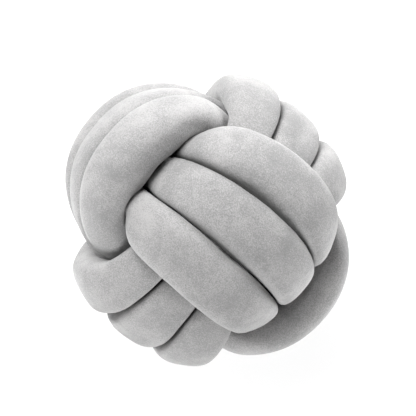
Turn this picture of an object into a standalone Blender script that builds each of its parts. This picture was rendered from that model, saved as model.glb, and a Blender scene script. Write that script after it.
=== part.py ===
"""Knot cushion: one long stuffed plush tube tied into a ball.

The tube makes three turns side by side in each of three directions. Every
bundle of three passes over one neighbour bundle and under the other. It is
modelled as one closed tube, because the maker's join of its two ends lies
inside the knot.

Units are metres, +Z is up. The cushion lies on the face opposite the one that
shows, on a small flat spot, and the origin is the middle of its footprint.

How the shape is made:
1. `bundle_turns` gives the centreline of one bundle, with three turns of a
   rounded oval. The tube steps from one turn to the next where it is hidden.
2. `closed_curve` repeats the bundle with a one-third turn of the whole knot
   and joins the three through the inside with short quarter-turn links.
3. `tube_points` puts a section round each point of the centreline. The
   section is the smaller of its own stuffed outline and half the way to the
   nearest neighbouring pass, which is how stuffed tubes press on each other.
"""

import bpy
import numpy as np

# The three bundles of turns, measured to the tube's centreline from the middle
# of the ball. The columns are:
#   reach   how far the middle turn stands out
#   dip     half-height of the middle turn where it goes under
#   step    spacing of neighbouring turns where they show
#   crown   height of the section on its outer side
#   shift   how far the whole bundle lies to one side
#   lean    sideways lean for each metre of reach
#   skew    sideways lean for each metre of dip
#   drop    how much less the outer turns reach than the middle one
#   fan     how much further the first outer turn reaches, and the last one less
#   slide   how far the first outer turn lies towards its dip, and the last one away
#   bow     how far the middle turn lies towards its dip
BUNDLES = np.array([
    [0.1240, 0.0796, 0.0588, 0.0236, 0.0004, -0.0584, 0.0525, 0.0042, -0.0033, -0.0030, -0.0005],
    [0.1221, 0.0789, 0.0539, 0.0195, 0.0055, -0.0273, -0.0297, 0.0077, 0.0026, -0.0027, -0.0010],
    [0.1289, 0.0796, 0.0551, 0.0206, 0.0029, 0.0537, -0.0190, 0.0074, 0.0001, -0.0020, -0.0030],
])
REACH, DIP, STEP, CROWN, SHIFT, LEAN, SKEW, DROP, FAN, SLIDE, BOW = range(11)

# The world axes of each bundle's reach, dip and side step.
AXES = ((0, 1, 2), (1, 2, 0), (2, 0, 1))

DIP_DROP = 0.0023       # outer turns dip deeper than the middle one
TURN_SQUARENESS = 2.55  # 2 is an ellipse, more is boxier
STEP_HIDDEN = 0.0322    # spacing of neighbouring turns where they are hidden
STEP_SHARPNESS = 0.85   # how late the spacing closes towards the hidden part

# Section of the stuffed tube.
DEPTH = 0.0850          # height it could have on its inner side
HALF_WIDTH = 0.0269     # half-width of the free section
INNER_WIDTH = 0.0450    # half-width it could have on its inner side
SECTION_POWER = 2.40    # 2 is an ellipse, more is boxier
BLEND_POWER = 14.0      # how tightly the free section follows the neighbours
SPIKE_LIMIT = 1.20      # how far a radius may exceed the mean of its neighbours
EVENING_PASSES = 3      # how often that limit is applied
CLEARANCE_OUT = 0.0015  # left free on each side of a contact that shows
CLEARANCE_IN = 0.0031   # the same where it is hidden

# Hidden part of the winding.
STEP_HALF_TURN = 0.124  # share of a turn in which the tube changes turns
LINK_START = 0.107      # share of a turn left out at each end of a bundle
LINK_SPREAD = 0.05      # extra side step at the two ends of a bundle
LINK_POINT = (-0.012, -0.012, -0.012)  # where a link passes the middle of the ball
SMOOTHING = 0.008       # length over which the centreline is smoothed

# Resting on a support.
FLAT_DEPTH = 0.006      # how far the lowest strand is pressed flat

# Mesh.
CURVE_POINTS = 2400
RINGS = 370
SIDES = 16

# One third of a turn about the diagonal (-1, 1, 1): bundle A to B, B to C.
THIRD_TURN = np.array([[0.0, 0.0, -1.0], [-1.0, 0.0, 0.0], [0.0, 1.0, 0.0]])


def smooth_step(x):
    """Ease from 0 to 1."""
    x = np.clip(x, 0.0, 1.0)
    return x * x * (3.0 - 2.0 * x)


def bundle_turns(sizes):
    """Centreline of one bundle, in the first one's place: reach X, dip Y, side step Z."""
    u = np.linspace(LINK_START, 3.0 - LINK_START, 480)
    angle = 2.0 * np.pi * u
    turn = np.ones_like(u)
    for change in (1.0, 2.0):
        turn -= smooth_step((u - change + STEP_HALF_TURN) / (2.0 * STEP_HALF_TURN))
    turn += LINK_SPREAD * (1.0 - smooth_step(u / STEP_HALF_TURN))
    turn -= LINK_SPREAD * (1.0 - smooth_step((3.0 - u) / STEP_HALF_TURN))
    sine = np.sin(angle)
    cosine = np.cos(angle)
    a = sizes[REACH] - np.abs(turn) * sizes[DROP] + turn * sizes[FAN]
    b = sizes[DIP] - np.abs(turn) * DIP_DROP
    n = TURN_SQUARENESS
    radius = (np.abs(sine / a) ** n + np.abs(cosine / b) ** n) ** (-1.0 / n)
    hidden = (cosine * cosine) ** STEP_SHARPNESS
    step = sizes[STEP] + (STEP_HIDDEN - sizes[STEP]) * hidden
    across = turn * sizes[SLIDE] + (1.0 - turn ** 2) * sizes[BOW] - radius * cosine
    return np.stack([-radius * sine, across, turn * step], axis=1)


def respaced(rows, count):
    """Closed curve, and what it carries in more columns, as evenly spaced rows."""
    loop = np.vstack([rows, rows[:1]])
    length = np.linalg.norm(np.diff(loop[:, :3], axis=0), axis=1)
    along = np.concatenate([[0.0], np.cumsum(length)])
    target = np.linspace(0.0, along[-1], count, endpoint=False)
    columns = [np.interp(target, along, loop[:, i]) for i in range(loop.shape[1])]
    return np.stack(columns, axis=1)


def smoothed(values, spacing, width):
    """Closed row of values blurred along its length."""
    wave = np.fft.fftfreq(len(values), d=spacing)
    keep = np.exp(-2.0 * (np.pi * wave * width) ** 2)
    return np.real(np.fft.ifft(np.fft.fft(values, axis=0) * keep[:, None], axis=0))


def spacing_of(points):
    """Mean distance between neighbouring points of a closed curve."""
    return np.linalg.norm(np.roll(points, -1, axis=0) - points, axis=1).mean()


def placed_bundle(sizes, axes, place):
    """One bundle and its link in their place, with the crown as a fourth column.

    The sideways offsets fade with the square of the reach, so that they act
    where the bundle shows.
    """
    reach_axis, dip_axis, step_axis = axes
    turns = bundle_turns(sizes) @ place.T
    reach = turns[:, reach_axis]
    aside = sizes[SHIFT] + sizes[LEAN] * reach + sizes[SKEW] * turns[:, dip_axis]
    turns[:, step_axis] += aside * (reach / sizes[REACH]) ** 2
    rows = np.vstack([turns, place @ np.array(LINK_POINT)])
    return np.column_stack([rows, np.full(len(rows), sizes[CROWN])])


def closed_curve():
    """Centreline of the whole tube, and its crown, one row each."""
    parts = []
    place = np.eye(3)
    for sizes, axes in zip(BUNDLES, AXES):
        parts.append(placed_bundle(sizes, axes, place))
        place = THIRD_TURN @ place
    rows = respaced(np.concatenate(parts), CURVE_POINTS)
    rows = smoothed(rows, spacing_of(rows[:, :3]), SMOOTHING)
    rows = respaced(rows, CURVE_POINTS)
    return rows[:, :3], rows[:, 3]


def directions(curve):
    """Tangent, outward and sideways directions along the centreline."""
    tangent = np.roll(curve, -1, axis=0) - np.roll(curve, 1, axis=0)
    tangent /= np.linalg.norm(tangent, axis=1)[:, None]
    outward = curve / np.linalg.norm(curve, axis=1)[:, None]
    outward = smoothed(outward, spacing_of(curve), 0.02)
    outward -= (outward * tangent).sum(axis=1)[:, None] * tangent
    outward /= np.linalg.norm(outward, axis=1)[:, None]
    return tangent, outward, np.cross(tangent, outward)


def ring_positions(curve):
    """Indices of the centreline points that carry a ring, closer in bends."""
    tangent = directions(curve)[0]
    bend = np.linalg.norm(np.roll(tangent, -1, axis=0) - tangent, axis=1)
    weight = 1.0 + 0.020 * bend / spacing_of(curve)
    weight = smoothed(weight[:, None], spacing_of(curve), 0.02)[:, 0]
    along = np.concatenate([[0.0], np.cumsum(weight)])
    target = np.linspace(0.0, along[-1], RINGS, endpoint=False)
    return np.interp(target, along, np.arange(len(along))).astype(int)


def without_spikes(radius, passes):
    """Lower each radius that stands out from the mean of its neighbours."""
    for _ in range(passes):
        along = np.roll(radius, 1, axis=0) + np.roll(radius, -1, axis=0)
        around = np.roll(radius, 1, axis=1) + np.roll(radius, -1, axis=1)
        mean = (along + around) / 4.0
        radius = np.minimum(radius, SPIKE_LIMIT * mean)
    return radius


def tube_points(curve, crown, rings):
    """Grid of surface points, one row for each ring."""
    tangent, outward, sideways = directions(curve)
    angle = np.linspace(0.0, 2.0 * np.pi, SIDES, endpoint=False)
    centre = curve[rings]
    ray = np.cos(angle)[None, :, None] * outward[rings][:, None]
    ray = ray + np.sin(angle)[None, :, None] * sideways[rings][:, None]
    away = curve[None, :, :] - centre[:, None, :]
    squared = (away ** 2).sum(axis=2)
    half_way = np.empty(ray.shape[:2])
    for i in range(len(rings)):
        facing = ray[i] @ away[i].T
        limit = squared[i][None, :] / (2.0 * np.maximum(facing, 1e-6))
        half_way[i] = np.where(facing > 1e-6, limit, 1.0).min(axis=1)
    shows = smooth_step((np.cos(angle) + 0.1) / 0.5)
    clearance = CLEARANCE_IN + (CLEARANCE_OUT - CLEARANCE_IN) * shows
    half_way = np.maximum(half_way - clearance[None, :], 0.002)
    height = np.where(np.cos(angle) > 0.0, crown[rings][:, None], DEPTH)
    width = HALF_WIDTH + (INNER_WIDTH - HALF_WIDTH) * smooth_step(-2.0 * np.cos(angle))
    m = SECTION_POWER
    free = np.abs(np.cos(angle) / height) ** m + np.abs(np.sin(angle) / width) ** m
    free = free ** (-1.0 / m)
    p = BLEND_POWER
    radius = (free ** -p + half_way ** -p) ** (-1.0 / p)
    radius = without_spikes(radius, EVENING_PASSES)
    return centre[:, None, :] + radius[:, :, None] * ray


def set_down(points):
    """Press the lowest strand flat and put the origin under the middle."""
    floor = points[..., 2].min() + FLAT_DEPTH
    points[..., 2] = np.maximum(points[..., 2], floor)
    low = points.reshape(-1, 3).min(axis=0)
    high = points.reshape(-1, 3).max(axis=0)
    middle = (low + high) / 2.0
    middle[2] = low[2]
    return points - middle


def plush_material():
    """Pale grey short-pile plush."""
    material = bpy.data.materials.new("plush")
    material.use_nodes = True
    shader = material.node_tree.nodes["Principled BSDF"]
    shader.inputs["Base Color"].default_value = (0.60, 0.60, 0.60, 1.0)
    shader.inputs["Roughness"].default_value = 0.9
    shader.inputs["Sheen Weight"].default_value = 0.4
    return material


def tube_object(name, points, material):
    """Closed tube from its grid of surface points."""
    rows, columns = points.shape[:2]
    index = np.arange(rows * columns).reshape(rows, columns)
    next_row = np.roll(index, -1, axis=0)
    quads = np.stack(
        [index, np.roll(index, -1, axis=1), np.roll(next_row, -1, axis=1), next_row],
        axis=2,
    )
    mesh = bpy.data.meshes.new(name)
    mesh.from_pydata(points.reshape(-1, 3).tolist(), [], quads.reshape(-1, 4).tolist())
    mesh.materials.append(material)
    mesh.update()
    made = bpy.data.objects.new(name, mesh)
    bpy.context.scene.collection.objects.link(made)
    return made


def build():
    """Make the cushion."""
    for old in list(bpy.data.objects):
        bpy.data.objects.remove(old, do_unlink=True)
    curve, crown = closed_curve()
    points = tube_points(curve, crown, ring_positions(curve))
    tube_object("knotted_tube", set_down(points), plush_material())


build()
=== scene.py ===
"""Looks of the knot cushion: one stuffed plush tube tied into a ball.

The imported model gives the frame. The cushion is one padded piece that takes the
place of the plain solid `knotted_tube`, with the same winding worked out on a
finer grid, and a short-pile plush finish. Lengths are in metres.
"""

from __future__ import annotations

import logging
from dataclasses import dataclass, field
from enum import Enum

import bpy
import numpy as np
from mathutils import Matrix, Vector


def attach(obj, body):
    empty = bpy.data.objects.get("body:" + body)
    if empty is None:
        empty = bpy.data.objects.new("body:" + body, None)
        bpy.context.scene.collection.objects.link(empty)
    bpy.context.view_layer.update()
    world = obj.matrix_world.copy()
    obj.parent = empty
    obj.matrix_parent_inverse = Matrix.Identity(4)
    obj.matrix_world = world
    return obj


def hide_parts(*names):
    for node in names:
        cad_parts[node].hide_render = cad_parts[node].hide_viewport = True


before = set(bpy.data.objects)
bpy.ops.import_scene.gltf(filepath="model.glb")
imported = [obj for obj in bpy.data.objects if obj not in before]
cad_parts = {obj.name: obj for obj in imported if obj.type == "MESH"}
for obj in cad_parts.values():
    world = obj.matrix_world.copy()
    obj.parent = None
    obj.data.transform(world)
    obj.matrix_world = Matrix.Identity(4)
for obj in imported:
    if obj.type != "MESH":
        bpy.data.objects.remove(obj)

log = logging.getLogger("knot_cushion")

IMAGE_SIDE = 416
"""Width and height of the picture in pixels."""

SENSOR_WIDTH = 36.0
"""Width of the camera's sensor in millimetres."""

TURNS = 3.0
"""Turns of the tube in each bundle."""

TINY = 1e-6
"""Keeps a division from meeting nought."""


def smooth_step(x: np.ndarray) -> np.ndarray:
    """Ease from 0 to 1: 3 x squared minus 2 x cubed, held at both ends."""
    x = np.clip(x, 0.0, 1.0)
    return x * x * (3.0 - 2.0 * x)


def unit(vectors: np.ndarray) -> np.ndarray:
    """Vectors scaled to length one."""
    return vectors / np.linalg.norm(vectors, axis=-1, keepdims=True)


class Bundle(Enum):
    """A bundle of three turns, named by the sides of the ball it stands out from.

    The value gives the axes of its reach, its dip and its side step.
    """

    LEFT_AND_RIGHT = (0, 1, 2)
    FAR_AND_NEAR = (1, 2, 0)
    TOP_AND_BOTTOM = (2, 0, 1)


@dataclass(frozen=True)
class BundleSizes:
    """Sizes of one bundle, measured to the tube's centreline from the ball's middle.

    `lean` and `skew` are sideways leans for each metre of reach and of dip,
    `drop` is how much less the outer turns reach than the middle one, `fan` is
    how much further the first outer turn reaches, and the last one less.
    `slide` is how far the first outer turn lies towards its dip, and the last
    one away, and `bow` is the same for the middle turn.
    """

    reach: float
    dip: float
    step: float
    crown: float
    shift: float
    lean: float
    skew: float
    drop: float
    fan: float
    slide: float
    bow: float


@dataclass
class Winding:
    """Centreline of the tube: three turns in each of three bundles.

    Each turn is a rounded oval, long where it shows and short where it passes
    under the next bundle. The tube steps from one turn to the next in the
    hidden part, and a short link inside the knot leads to the next bundle.

    `dip_drop` is how much deeper the outer turns dip than the middle one, and
    `hidden_step` the spacing of the turns where they are hidden. The tube
    changes turns within `step_half_turn` of a turn to each side, and
    `link_start` is the share of a turn left out at each end of a bundle.
    `link_spread` is an extra side step at those ends, and `link_point` is where
    a link passes the middle of the ball.
    """

    bundles: dict[Bundle, BundleSizes] = field(default_factory=lambda: {
        Bundle.LEFT_AND_RIGHT: BundleSizes(
            0.1240, 0.0796, 0.0588, 0.0236, 0.0004, -0.0584, 0.0525, 0.0042, -0.0033,
            -0.0030, -0.0005),
        Bundle.FAR_AND_NEAR: BundleSizes(
            0.1221, 0.0789, 0.0539, 0.0195, 0.0055, -0.0273, -0.0297, 0.0077, 0.0026,
            -0.0027, -0.0010),
        Bundle.TOP_AND_BOTTOM: BundleSizes(
            0.1289, 0.0796, 0.0551, 0.0206, 0.0029, 0.0537, -0.0190, 0.0074, 0.0001,
            -0.0020, -0.0030),
    })
    dip_drop: float = 0.0023
    squareness: float = 2.55
    hidden_step: float = 0.0322
    step_sharpness: float = 0.85
    step_half_turn: float = 0.124
    link_start: float = 0.107
    link_spread: float = 0.05
    link_point: tuple[float, float, float] = (-0.012, -0.012, -0.012)
    smoothing: float = 0.008
    turn_points: int = 480
    points: int = 2400

    def bundle_turns(self, sizes: BundleSizes) -> np.ndarray:
        """Centreline of one bundle, placed as the first bundle.

        The oval is a superellipse in the plane of reach (X) and dip (Y). The
        side step (Z) is the turn's number, from 1 to -1, times a spacing that
        closes with a power of the cosine of the angle towards the hidden part.

        Args:
            sizes: the bundle's sizes.

        Returns:
            Points of the three turns, one row each.
        """
        u = np.linspace(self.link_start, TURNS - self.link_start, self.turn_points)
        angle = 2.0 * np.pi * u
        half = self.step_half_turn
        turn = 1.0 - smooth_step((u - 1.0 + half) / (2.0 * half))
        turn = turn - smooth_step((u - 2.0 + half) / (2.0 * half))
        turn = turn + self.link_spread * (1.0 - smooth_step(u / half))
        turn = turn - self.link_spread * (1.0 - smooth_step((TURNS - u) / half))
        sine, cosine = np.sin(angle), np.cos(angle)
        a = sizes.reach - np.abs(turn) * sizes.drop + turn * sizes.fan
        b = sizes.dip - np.abs(turn) * self.dip_drop
        n = self.squareness
        radius = (np.abs(sine / a) ** n + np.abs(cosine / b) ** n) ** (-1.0 / n)
        hidden = (cosine ** 2) ** self.step_sharpness
        step = sizes.step + (self.hidden_step - sizes.step) * hidden
        across = turn * sizes.slide + (1.0 - turn ** 2) * sizes.bow - radius * cosine
        return np.stack([-radius * sine, across, turn * step], axis=1)

    def placed(self, bundle: Bundle, place: np.ndarray) -> np.ndarray:
        """One bundle and its link in their place, with the crown as a fourth column.

        The sideways offsets fade with the square of the reach, so that they act
        where the bundle shows.

        Args:
            bundle: which bundle.
            place: turn from the first bundle's place to this one's.

        Returns:
            Rows of x, y, z and crown.
        """
        sizes = self.bundles[bundle]
        reach_axis, dip_axis, step_axis = bundle.value
        turns = self.bundle_turns(sizes) @ place.T
        reach, dip = turns[:, reach_axis], turns[:, dip_axis]
        aside = sizes.shift + sizes.lean * reach + sizes.skew * dip
        turns[:, step_axis] += aside * (reach / sizes.reach) ** 2
        rows = np.vstack([turns, place @ np.array(self.link_point)])
        return np.column_stack([rows, np.full(len(rows), sizes.crown)])

    def curve(self) -> tuple[np.ndarray, np.ndarray]:
        """Closed centreline, and the crown at each of its points.

        Each bundle is the one before it, turned by a third of a turn about the
        ball's diagonal, with its own sizes.

        Returns:
            Points of the centreline, and the crown at each of them.
        """
        third_turn = np.array([[0.0, 0.0, -1.0], [-1.0, 0.0, 0.0], [0.0, 1.0, 0.0]])
        place = np.eye(3)
        parts = []
        for bundle in Bundle:
            parts.append(self.placed(bundle, place))
            place = third_turn @ place
        rows = respaced(np.concatenate(parts), self.points)
        rows = blurred(rows, spacing_of(rows[:, :3]), self.smoothing)
        rows = respaced(rows, self.points)
        return rows[:, :3], rows[:, 3]


def respaced(rows: np.ndarray, count: int) -> np.ndarray:
    """Closed curve, and what it carries in more columns, as evenly spaced rows.

    Args:
        rows: x, y and z in the first three columns.
        count: how many rows to return.

    Returns:
        Rows at equal steps of the curve's length.
    """
    loop = np.vstack([rows, rows[:1]])
    length = np.linalg.norm(np.diff(loop[:, :3], axis=0), axis=1)
    along = np.concatenate([[0.0], np.cumsum(length)])
    target = np.linspace(0.0, along[-1], count, endpoint=False)
    columns = [np.interp(target, along, loop[:, i]) for i in range(loop.shape[1])]
    return np.stack(columns, axis=1)


def spacing_of(points: np.ndarray) -> float:
    """Mean distance between neighbouring points of a closed curve."""
    return float(np.linalg.norm(np.roll(points, -1, axis=0) - points, axis=1).mean())


def blurred(values: np.ndarray, spacing: float, width: float) -> np.ndarray:
    """Closed rows of values blurred along their length.

    Args:
        values: one row for each point of the closed curve.
        spacing: distance between points.
        width: standard deviation of the blur.

    Returns:
        The blurred values, worked out by damping the short waves.
    """
    wave = np.fft.fftfreq(len(values), d=spacing)
    keep = np.exp(-2.0 * (np.pi * wave * width) ** 2)
    return np.real(np.fft.ifft(np.fft.fft(values, axis=0) * keep[:, None], axis=0))


def softened(grid: np.ndarray, along: float, around: float) -> np.ndarray:
    """Grid that joins up both ways, blurred along its rows and columns.

    Args:
        grid: values by ring and side.
        along: standard deviation of the blur in rings.
        around: the same in sides.

    Returns:
        The blurred grid.
    """
    rings = np.fft.fftfreq(grid.shape[0])[:, None]
    sides = np.fft.fftfreq(grid.shape[1])[None, :]
    keep = np.exp(-2.0 * np.pi ** 2 * ((rings * along) ** 2 + (sides * around) ** 2))
    keep = keep.reshape(keep.shape + (1,) * (grid.ndim - 2))
    return np.real(np.fft.ifft2(np.fft.fft2(grid, axes=(0, 1)) * keep, axes=(0, 1)))


@dataclass(frozen=True)
class ClothRun:
    """Cloth simulation that lets the plush cover bulge and pucker where it shows.

    The cover starts as the worked-out surface on a coarser grid. Its hidden part
    is held, the filling presses from inside, and the strands keep off each
    other. The broad swelling is taken off the move again, so that the ball keeps
    its size, and what is left is capped and added to the fine grid. Lengths are
    in metres, and softness and breadth are in rings and in sides of the fine grid.

    The hidden part is what lies within `held_radius` of the ball's middle, or
    more than `held_angle` degrees round the section from its outward direction.
    """

    every_side: int = 2
    frames: int = 8
    pressure: float = 60.0
    stretch_stiffness: float = 60.0
    shear_stiffness: float = 20.0
    bending_stiffness: float = 5.0
    extra_cloth: float = 0.02
    least_gap: float = 0.0006
    held_radius: float = 0.095
    held_angle: float = 110.0
    most_move: float = 0.0013
    softness: tuple[float, float] = (1.8, 1.6)
    breadth: tuple[float, float] = (9.0, 9.0)

    def moves(self, points: np.ndarray) -> np.ndarray:
        """Run the simulation and return how far each point of the grid moves.

        Args:
            points: surface points by ring and side, in the ball's own frame.

        Returns:
            Moves by ring and side.
        """
        start = points[:, ::self.every_side]
        cover = grid_object("cover", start)
        self.hold_hidden_part(cover, start)
        self.dress(cover)
        scene = bpy.context.scene
        for number in range(1, self.frames + 1):
            scene.frame_set(number)
        settled = cover.evaluated_get(bpy.context.evaluated_depsgraph_get()).data
        flat = np.empty(start.size, dtype=np.float32)
        settled.vertices.foreach_get("co", flat)
        mesh = cover.data
        bpy.data.objects.remove(cover)
        bpy.data.meshes.remove(mesh)
        scene.frame_set(1)
        move = flat.reshape(start.shape).astype(float) - start
        move = np.repeat(move, self.every_side, axis=1)
        move = softened(move, *self.softness) - softened(move, *self.breadth)
        length = np.linalg.norm(move, axis=2, keepdims=True)
        log.info("cloth puckers by up to %.1f mm, capped to %.1f mm",
                 1000.0 * length.max(), 1000.0 * self.most_move)
        return move * np.minimum(1.0, self.most_move / np.maximum(length, TINY))

    def hold_hidden_part(self, cover: bpy.types.Object, start: np.ndarray) -> None:
        """Pin the points that lie inside the knot or on a strand's inner side.

        Args:
            cover: the cloth's object.
            start: its points by ring and side.
        """
        angle = np.linspace(0.0, 360.0, start.shape[1], endpoint=False)
        inner = np.abs(angle - 180.0) < 180.0 - self.held_angle
        held = inner[None, :] | (np.linalg.norm(start, axis=2) < self.held_radius)
        group = cover.vertex_groups.new(name="held")
        group.add(np.nonzero(held.ravel())[0].tolist(), 1.0, "REPLACE")

    def dress(self, cover: bpy.types.Object) -> None:
        """Add the Cloth modifier with its settings.

        Args:
            cover: the cloth's object.
        """
        cloth = cover.modifiers.new("cloth", "CLOTH")
        settings, touch = cloth.settings, cloth.collision_settings
        settings.tension_stiffness = self.stretch_stiffness
        settings.compression_stiffness = self.stretch_stiffness
        settings.shear_stiffness = self.shear_stiffness
        settings.bending_stiffness = self.bending_stiffness
        settings.use_pressure = True
        settings.uniform_pressure_force = self.pressure
        settings.shrink_min = -self.extra_cloth
        settings.effector_weights.gravity = 0.0
        settings.vertex_group_mass = "held"
        touch.use_collision = False
        touch.use_self_collision = True
        touch.self_distance_min = self.least_gap
        cloth.point_cache.frame_end = self.frames


@dataclass
class KnottedTube:
    """The stuffed tube with its section pressed by the neighbouring passes.

    The section's outline is the smaller of its own stuffed outline and the
    half-way distance to any other pass, joined smoothly. The half-way distance
    along a ray d from centre c is the least of |q-c| squared over 2 d.(q-c) for
    all points q of the centreline, which is where two equal tubes meet.

    `depth` and `inner_width` are the height and half-width that the section
    could have on its inner side. A radius may exceed the mean of its neighbours,
    taken over `even_over` rings and sides, by the factor `spike_limit`, and
    `softness` is the last blur in rings and sides.
    """

    winding: Winding
    cloth: ClothRun = ClothRun()
    depth: float = 0.085
    half_width: float = 0.0286
    inner_width: float = 0.045
    power: float = 2.65
    blend: float = 40.0
    evening_passes: int = 4
    spike_limit: float = 1.02
    even_over: tuple[float, float] = (2.0, 1.5)
    softness: tuple[float, float] = (1.0, 0.8)
    outward_smoothing: float = 0.02
    least_radius: float = 0.002
    most_radius: float = 1.0
    clearance: float = 0.0002
    flat_depth: float = 0.006
    rings: int = 1240
    sides: int = 80
    blocks: int = 60
    fill: float = 0.9
    middle: tuple[float, float, float] = (0.0, 0.0, 0.0)

    def directions(self, curve: np.ndarray) -> tuple[np.ndarray, np.ndarray]:
        """Outward and sideways directions at each point of the centreline.

        Args:
            curve: points of the closed centreline.

        Returns:
            Unit vectors away from the ball's middle and across the tube.
        """
        tangent = unit(np.roll(curve, -1, axis=0) - np.roll(curve, 1, axis=0))
        outward = blurred(unit(curve), spacing_of(curve), self.outward_smoothing)
        outward = outward - (outward * tangent).sum(axis=1)[:, None] * tangent
        outward = unit(outward)
        return outward, np.cross(tangent, outward)

    def free_radius(self, angle: np.ndarray, crown: np.ndarray) -> np.ndarray:
        """Stuffed outline: a superellipse, deeper and wider on its inner side.

        Args:
            angle: angles round the section, from its outward direction.
            crown: height of each ring's outer side.

        Returns:
            Radii, by ring and side.
        """
        cosine, sine = np.cos(angle), np.sin(angle)
        height = np.where(cosine > 0.0, crown[:, None], self.depth)
        spread = smooth_step(-2.0 * cosine)
        width = self.half_width + (self.inner_width - self.half_width) * spread
        m = self.power
        return (np.abs(cosine / height) ** m + np.abs(sine / width) ** m) ** (-1.0 / m)

    def half_way(self, centre: np.ndarray, rays: np.ndarray, curve: np.ndarray) -> np.ndarray:
        """Distance along each ray to the surface where two passes meet.

        Args:
            centre: ring centres.
            rays: unit rays, by ring and side.
            curve: points of the whole centreline.

        Returns:
            Distances, by ring and side.
        """
        parts = []
        for block in np.array_split(np.arange(len(centre)), self.blocks):
            away = curve[None, :, :] - centre[block][:, None, :]
            squared = (away ** 2).sum(axis=2)
            facing = rays[block] @ away.transpose(0, 2, 1)
            limit = squared[:, None, :] / (2.0 * np.maximum(facing, TINY))
            parts.append(np.where(facing > TINY, limit, self.most_radius).min(axis=2))
        return np.concatenate(parts)

    def surface(self) -> np.ndarray:
        """Work out the tube's surface in the ball's own frame.

        The radius is the smooth least of the stuffed outline and the half-way
        distance: both to the power -p, added, and back to the power -1/p.

        Returns:
            Grid of surface points, one row for each ring.
        """
        curve, crown = self.winding.curve()
        outward, sideways = self.directions(curve)
        pick = np.linspace(0, len(curve), self.rings, endpoint=False).astype(int)
        angle = np.linspace(0.0, 2.0 * np.pi, self.sides, endpoint=False)
        rays = np.cos(angle)[None, :, None] * outward[pick][:, None]
        rays = rays + np.sin(angle)[None, :, None] * sideways[pick][:, None]
        meet = self.half_way(curve[pick], rays, curve) - self.clearance
        meet = np.maximum(meet, self.least_radius)
        free = self.free_radius(angle, crown[pick])
        p = self.blend
        radius = (free ** -p + meet ** -p) ** (-1.0 / p)
        for _ in range(self.evening_passes):
            radius = np.minimum(radius, self.spike_limit * softened(radius, *self.even_over))
        points = curve[pick][:, None, :] + radius[:, :, None] * rays
        return softened(points, *self.softness)

    def set_down(self, points: np.ndarray) -> np.ndarray:
        """Press the lowest strand flat and put the origin under the ball's middle.

        Args:
            points: surface points in the ball's own frame.

        Returns:
            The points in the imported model's frame. `middle` keeps where the
            ball's own middle went.
        """
        floor = points[..., 2].min() + self.flat_depth
        points[..., 2] = np.maximum(points[..., 2], floor)
        low = points.reshape(-1, 3).min(axis=0)
        high = points.reshape(-1, 3).max(axis=0)
        shift = np.array([*(low + high)[:2] / 2.0, low[2]])
        self.middle = tuple(-shift)
        return points - shift

    def build(self, finish: PlushFinish) -> bpy.types.Object:
        """Make the piece, dress it and tie it to the frame.

        Args:
            finish: the plush.

        Returns:
            The finished piece.
        """
        points = self.surface()
        points = points + self.cloth.moves(points)
        piece = grid_object("plush_tube", self.set_down(points))
        piece.data.materials.append(finish.material())
        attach(piece, "root")
        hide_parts("knotted_tube")
        return piece


def grid_object(name: str, points: np.ndarray) -> bpy.types.Object:
    """Closed tube from a grid of points that joins up both ways.

    Args:
        name: name of the object.
        points: grid of points, by ring and side.

    Returns:
        A smooth-shaded object.
    """
    rows, columns = points.shape[:2]
    index = np.arange(rows * columns).reshape(rows, columns)
    right = np.roll(index, -1, axis=1)
    quads = np.stack([index, right, np.roll(right, -1, axis=0), np.roll(index, -1, axis=0)], axis=2)
    mesh = bpy.data.meshes.new(name)
    mesh.from_pydata(points.reshape(-1, 3), [], quads.reshape(-1, 4))
    mesh.polygons.foreach_set("use_smooth", np.ones(len(mesh.polygons), dtype=bool))
    mesh.update()
    piece = bpy.data.objects.new(name, mesh)
    bpy.context.scene.collection.objects.link(piece)
    return piece


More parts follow.
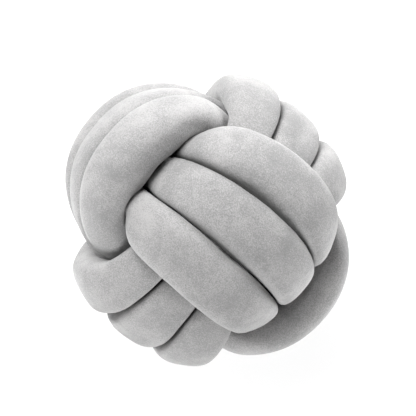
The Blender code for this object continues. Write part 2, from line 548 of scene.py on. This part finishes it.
@dataclass(frozen=True)
class PlushFinish:
    """Pale grey short-pile plush, brushed into faint lighter and darker patches.

    Lengths are in metres. The shares say how much of the pile's tone comes from
    the brushed patches, the smaller smudges and the single tufts. The details
    are how many finer octaves each of them has, and `relief` is the strength of
    the tufts' and the nap's bumps.
    """

    dark: tuple[float, float, float] = (0.215, 0.215, 0.215)
    light: tuple[float, float, float] = (0.332, 0.327, 0.326)
    patch_size: float = 0.045
    smudge_size: float = 0.012
    tuft_size: float = 0.0011
    patch_share: float = 0.60
    smudge_share: float = 0.26
    tuft_share: float = 0.84
    patch_detail: float = 4.0
    smudge_detail: float = 3.0
    tuft_detail: float = 1.0
    cloud_roughness: float = 0.6
    cloud_distortion: float = 0.25
    contrast: float = 0.14
    tuft_height: float = 0.0008
    nap_height: float = 0.0030
    relief: float = 0.35
    roughness: float = 0.95
    specular: float = 0.15
    sheen: float = 0.30
    sheen_roughness: float = 0.50

    def noise(self, tree: bpy.types.NodeTree, size: float, detail: float) -> bpy.types.NodeSocket:
        """Cloudy noise in the object's own space.

        Args:
            tree: the material's node tree.
            size: length of one cloud.
            detail: how many finer octaves are added.

        Returns:
            The noise's value, from 0 to 1.
        """
        place = tree.nodes.new("ShaderNodeTexCoord")
        clouds = tree.nodes.new("ShaderNodeTexNoise")
        clouds.inputs["Scale"].default_value = 1.0 / size
        clouds.inputs["Detail"].default_value = detail
        clouds.inputs["Roughness"].default_value = self.cloud_roughness
        clouds.inputs["Distortion"].default_value = self.cloud_distortion
        tree.links.new(place.outputs["Object"], clouds.inputs["Vector"])
        return clouds.outputs["Fac"]

    def weighted(self, tree: bpy.types.NodeTree, parts: list[tuple[bpy.types.NodeSocket, float]]
                 ) -> bpy.types.NodeSocket:
        """Sum of values, each times its share.

        Args:
            tree: the material's node tree.
            parts: each value's socket and share.

        Returns:
            The sum.
        """
        total = None
        for socket, share in parts:
            step = tree.nodes.new("ShaderNodeMath")
            step.operation = "MULTIPLY_ADD"
            step.inputs[1].default_value = share
            step.inputs[2].default_value = 0.0
            tree.links.new(socket, step.inputs[0])
            if total is not None:
                tree.links.new(total, step.inputs[2])
            total = step.outputs[0]
        return total

    def material(self) -> bpy.types.Material:
        """Principled material: brushed tones, tufted and napped relief, a soft sheen.

        Returns:
            The plush material.
        """
        material = bpy.data.materials.new("plush")
        material.use_nodes = True
        tree = material.node_tree
        shader = tree.nodes["Principled BSDF"]
        shader.inputs["Roughness"].default_value = self.roughness
        shader.inputs["Sheen Weight"].default_value = self.sheen
        shader.inputs["Sheen Roughness"].default_value = self.sheen_roughness
        shader.inputs["Specular IOR Level"].default_value = self.specular
        patches = self.noise(tree, self.patch_size, self.patch_detail)
        smudges = self.noise(tree, self.smudge_size, self.smudge_detail)
        tufts = self.noise(tree, self.tuft_size, self.tuft_detail)
        tone = self.weighted(tree, [(patches, self.patch_share), (smudges, self.smudge_share),
                                    (tufts, self.tuft_share)])
        tones = tree.nodes.new("ShaderNodeValToRGB")
        middle = 0.5 * (self.patch_share + self.smudge_share + self.tuft_share)
        tones.color_ramp.elements[0].position = middle - self.contrast
        tones.color_ramp.elements[0].color = (*self.dark, 1.0)
        tones.color_ramp.elements[1].position = middle + self.contrast
        tones.color_ramp.elements[1].color = (*self.light, 1.0)
        tree.links.new(tone, tones.inputs["Fac"])
        tree.links.new(tones.outputs["Color"], shader.inputs["Base Color"])
        normal = None
        for height, depth in ((smudges, self.nap_height), (tufts, self.tuft_height)):
            bump = tree.nodes.new("ShaderNodeBump")
            bump.inputs["Strength"].default_value = self.relief
            bump.inputs["Distance"].default_value = depth
            tree.links.new(height, bump.inputs["Height"])
            if normal is not None:
                tree.links.new(normal, bump.inputs["Normal"])
            normal = bump.outputs["Normal"]
        tree.links.new(normal, shader.inputs["Normal"])
        return material


@dataclass(frozen=True)
class SoftLight:
    """Square soft light aimed at the ball.

    `off_axis` is its angle from the camera's line of sight, and `around` its
    direction in the picture, from the right towards the top, both in degrees.
    """

    name: str
    off_axis: float
    around: float
    power: float
    distance: float = 2.0
    size: float = 1.2


@dataclass
class Studio:
    """Pale floor, soft lights and the camera at the photograph's angle.

    The rows of `view` are the picture's right, up and towards-the-viewer
    directions in the frame's axes. `picture_centre` is the pixel on which the
    ball's middle lies, and `surroundings` is how bright the white round the
    floor looks.
    """

    ball_centre: tuple[float, float, float]
    distance: float = 1.242
    picture_centre: tuple[float, float] = (208.0, 219.5)
    view: tuple[tuple[float, float, float], ...] = (
        (0.7309, 0.6348, 0.2508),
        (-0.6189, 0.7713, -0.1484),
        (-0.2876, -0.0468, 0.9566),
    )
    far_limit: float = 50.0
    floor_side: float = 3.0
    floor_tone: float = 0.93
    floor_roughness: float = 0.9
    surroundings: float = 1.0
    lights: tuple[SoftLight, ...] = (
        SoftLight("key_upper_left", 50.0, 120.0, 63.0),
        SoftLight("fill_front", 30.0, 120.0, 14.5),
        SoftLight("rim_right", 80.0, 30.0, 53.0),
        SoftLight("rim_below", 80.0, 270.0, 59.0),
    )

    def camera(self) -> None:
        """Camera whose picture shows the ball as the photograph does."""
        data = bpy.data.cameras.new("camera")
        data.sensor_width = SENSOR_WIDTH
        data.lens = SENSOR_WIDTH * self.distance * 1000.0 / IMAGE_SIDE
        data.shift_x = (IMAGE_SIDE / 2.0 - self.picture_centre[0]) / IMAGE_SIDE
        data.shift_y = (self.picture_centre[1] - IMAGE_SIDE / 2.0) / IMAGE_SIDE
        data.clip_end = self.far_limit
        camera = bpy.data.objects.new("camera", data)
        turn = Matrix(self.view).transposed()
        place = Vector(self.ball_centre) + turn.col[2] * self.distance
        camera.matrix_world = Matrix.Translation(place) @ turn.to_4x4()
        bpy.context.scene.collection.objects.link(camera)
        bpy.context.scene.camera = camera

    def light(self, lamp: SoftLight) -> None:
        """Square area light aimed at the ball.

        Args:
            lamp: its place, size and strength.
        """
        data = bpy.data.lights.new(lamp.name, "AREA")
        data.size = lamp.size
        data.energy = lamp.power
        made = bpy.data.objects.new(lamp.name, data)
        off_axis, around = np.radians(lamp.off_axis), np.radians(lamp.around)
        aside = np.sin(off_axis)
        towards = Vector((aside * np.cos(around), aside * np.sin(around), np.cos(off_axis)))
        direction = Matrix(self.view).transposed() @ towards
        place = Vector(self.ball_centre) + direction * lamp.distance
        aim = direction.to_track_quat("Z", "Y").to_matrix().to_4x4()
        made.matrix_world = Matrix.Translation(place) @ aim
        bpy.context.scene.collection.objects.link(made)

    def floor(self) -> None:
        """Plain pale floor that the cushion lies on."""
        mesh = bpy.data.meshes.new("floor")
        side = self.floor_side / 2.0
        corners = [(-side, -side, 0.0), (side, -side, 0.0), (side, side, 0.0), (-side, side, 0.0)]
        mesh.from_pydata(corners, [], [(0, 1, 2, 3)])
        material = bpy.data.materials.new("floor")
        material.use_nodes = True
        shader = material.node_tree.nodes["Principled BSDF"]
        shader.inputs["Base Color"].default_value = (*[self.floor_tone] * 3, 1.0)
        shader.inputs["Roughness"].default_value = self.floor_roughness
        mesh.materials.append(material)
        floor = bpy.data.objects.new("floor", mesh)
        bpy.context.scene.collection.objects.link(floor)

    def world(self) -> None:
        """Even white surroundings, which show behind the floor but light nothing."""
        world = bpy.data.worlds.new("surroundings")
        bpy.context.scene.world = world
        world.use_nodes = True
        back = world.node_tree.nodes["Background"]
        back.inputs["Color"].default_value = (1.0, 1.0, 1.0, 1.0)
        back.inputs["Strength"].default_value = self.surroundings
        world.cycles_visibility.diffuse = False
        world.cycles_visibility.glossy = False

    def build(self) -> None:
        """Set up the whole studio."""
        bpy.context.scene.view_settings.view_transform = "Standard"
        self.camera()
        self.floor()
        self.world()
        for lamp in self.lights:
            self.light(lamp)


def main() -> None:
    """Build the cushion and its studio."""
    logging.basicConfig(level=logging.INFO, format="%(name)s: %(message)s")
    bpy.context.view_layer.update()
    tube = KnottedTube(Winding())
    piece = tube.build(PlushFinish())
    Studio(ball_centre=tube.middle).build()
    log.info("%s: %d faces", piece.name, len(piece.data.polygons))


if __name__ == "__main__":
    main()
